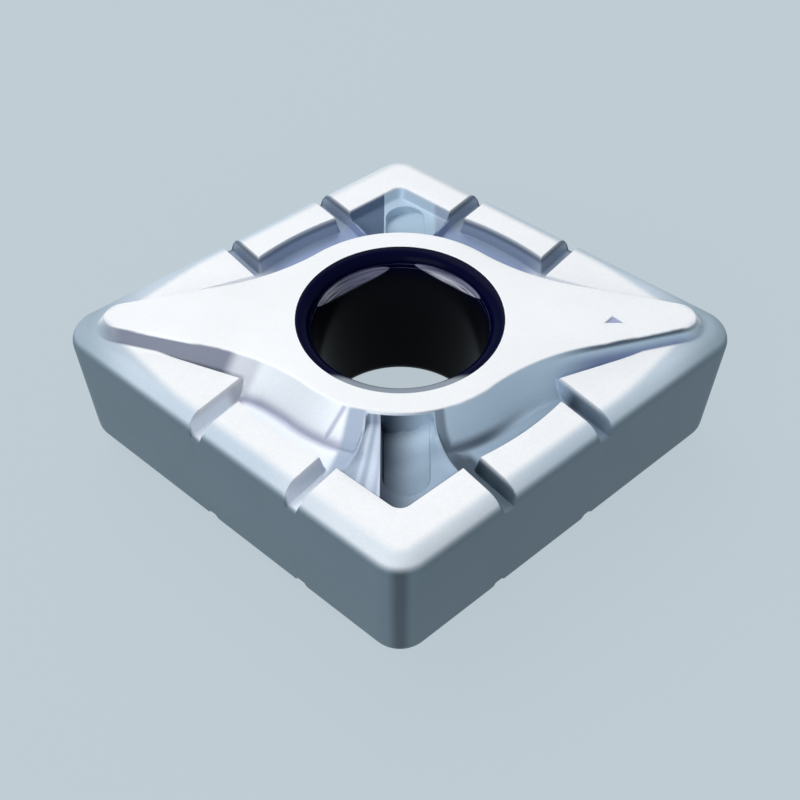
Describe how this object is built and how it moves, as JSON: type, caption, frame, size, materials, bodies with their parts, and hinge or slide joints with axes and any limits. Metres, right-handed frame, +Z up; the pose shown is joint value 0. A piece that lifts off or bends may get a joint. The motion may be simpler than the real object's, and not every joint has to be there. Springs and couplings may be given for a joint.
{
  "type": "turning insert",
  "caption": "Double-sided rhombic carbide cutting insert with a clamping bore, raised eye-shaped seats, moulded chip grooves and notched rims.",
  "frame": {"origin": "middle of the underside, on the bore's axis, in the plane of the lower seat", "axes": "+X along the long diagonal to a sharp corner, +Y along the short diagonal to a blunt corner, +Z up along the bore to the face shown in the picture"},
  "size_m": [0.0234, 0.02, 0.0063],
  "materials": {
    "carbide": "satin ground and sintered tungsten carbide, silver grey"
  },
  "bodies": {
    "root": {"insert_body": "carbide"}
  },
  "joints": []
}
